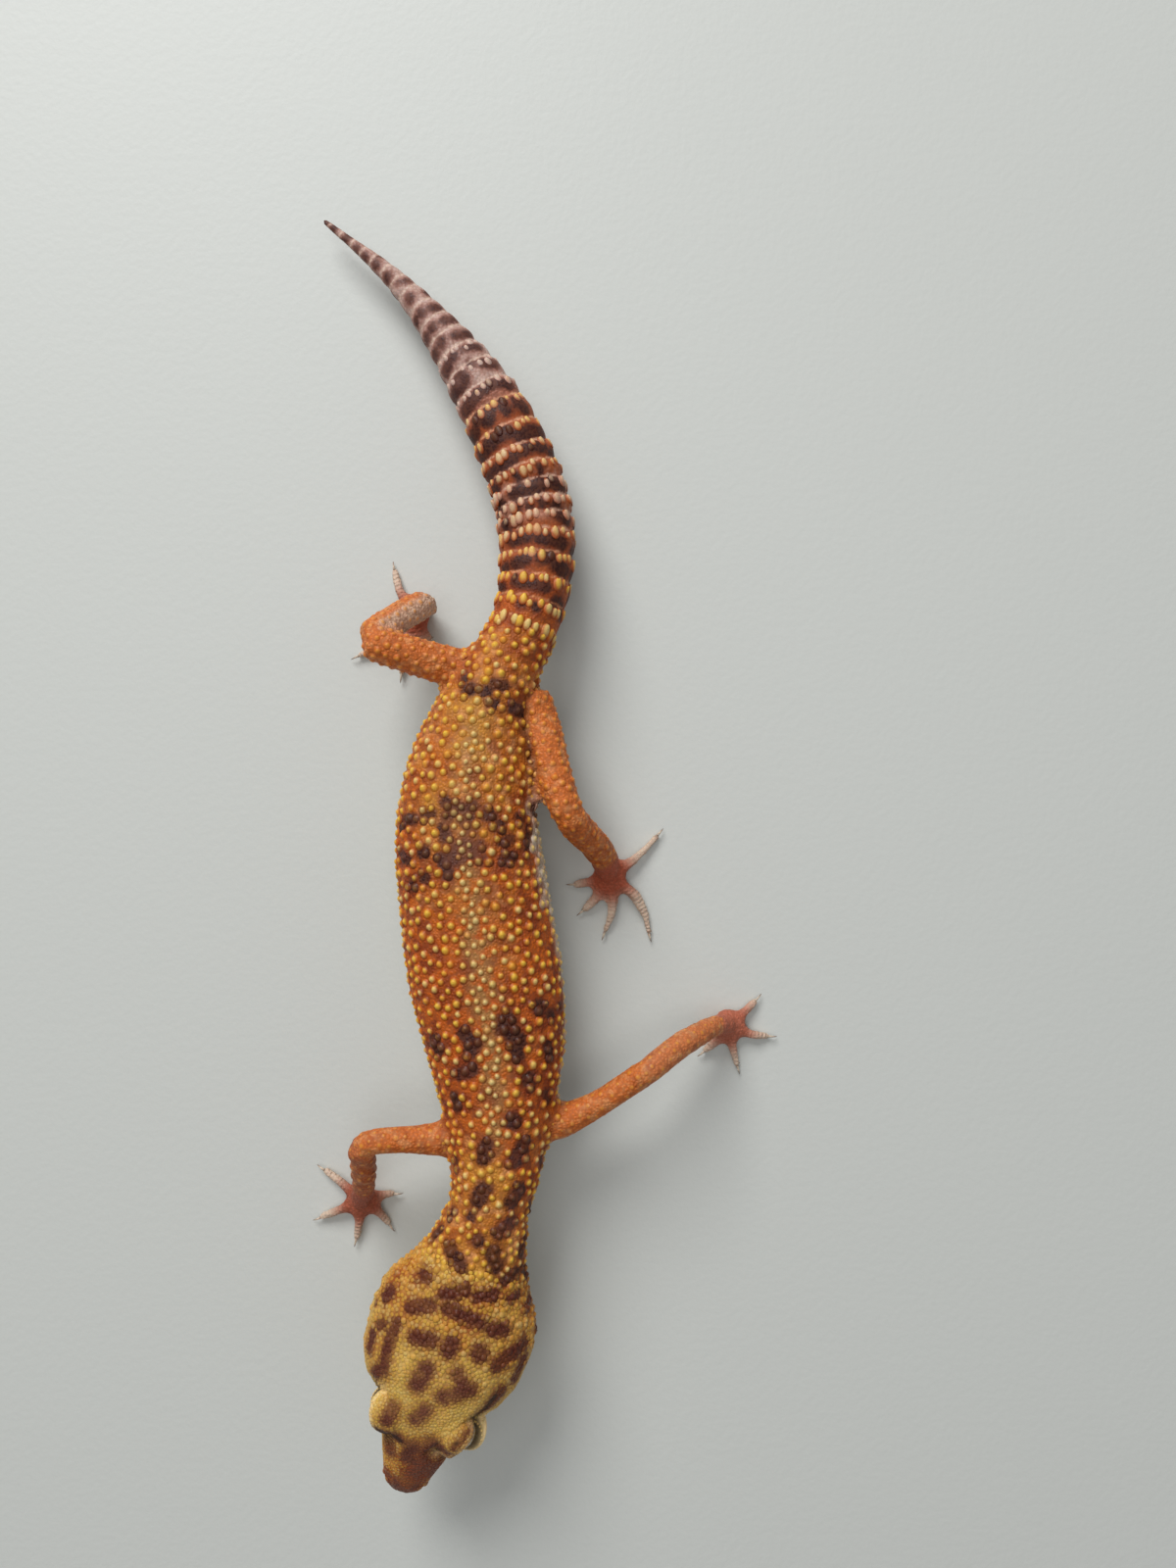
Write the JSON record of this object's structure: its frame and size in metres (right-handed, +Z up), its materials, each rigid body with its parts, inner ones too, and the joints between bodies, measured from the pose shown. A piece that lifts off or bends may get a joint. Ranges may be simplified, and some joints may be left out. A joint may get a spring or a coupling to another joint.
{
  "type": "leopard gecko",
  "caption": "Life-size still leopard gecko in a low walking stance, with a spotted head, warty back and tapering tail.",
  "frame": {"origin": "middle of the model's box, at the level of the floor that its four feet stand on", "axes": "+Z up, +Y towards the tail along the longest extent, +X towards the animal's left"},
  "size_m": [0.0728, 0.191, 0.0214],
  "materials": {
    "head_skin": "fine matt scales, yellow with brown spots",
    "body_skin": "granular orange skin with raised yellow scales and dark brown blotches",
    "tail_skin": "ringed skin, orange at the root, grey and dark brown towards the end",
    "limb_skin": "fine orange scales, pinkish brown on the hands and feet",
    "eye": "wet gloss over a gold-brown iris with an upright slit pupil",
    "claw": "smooth pale horn"
  },
  "bodies": {
    "root": {"head": "head_skin", "lower_jaw": "head_skin", "neck": "body_skin", "chest": "body_skin", "belly": "body_skin", "hips": "body_skin", "tail_base": "tail_skin", "tail_middle": "tail_skin", "tail_end": "tail_skin", "eye_right": "eye", "eye_left": "eye", "right_upper_arm": "limb_skin", "right_forearm": "limb_skin", "right_hand": "limb_skin", "right_thigh": "limb_skin", "right_shin": "limb_skin", "right_foot": "limb_skin", "left_upper_arm": "limb_skin", "left_forearm": "limb_skin", "left_hand": "limb_skin", "left_thigh": "limb_skin", "left_shin": "limb_skin", "left_foot": "limb_skin", "claw_right_fore_1": "claw", "claw_right_fore_2": "claw", "claw_right_fore_3": "claw", "claw_right_fore_4": "claw", "claw_right_fore_5": "claw", "claw_right_hind_1": "claw", "claw_right_hind_2": "claw", "claw_right_hind_3": "claw", "claw_right_hind_4": "claw", "claw_right_hind_5": "claw", "claw_left_fore_1": "claw", "claw_left_fore_2": "claw", "claw_left_fore_3": "claw", "claw_left_fore_4": "claw", "claw_left_fore_5": "claw", "claw_left_hind_1": "claw", "claw_left_hind_2": "claw", "claw_left_hind_3": "claw", "claw_left_hind_4": "claw", "claw_left_hind_5": "claw"}
  },
  "joints": []
}
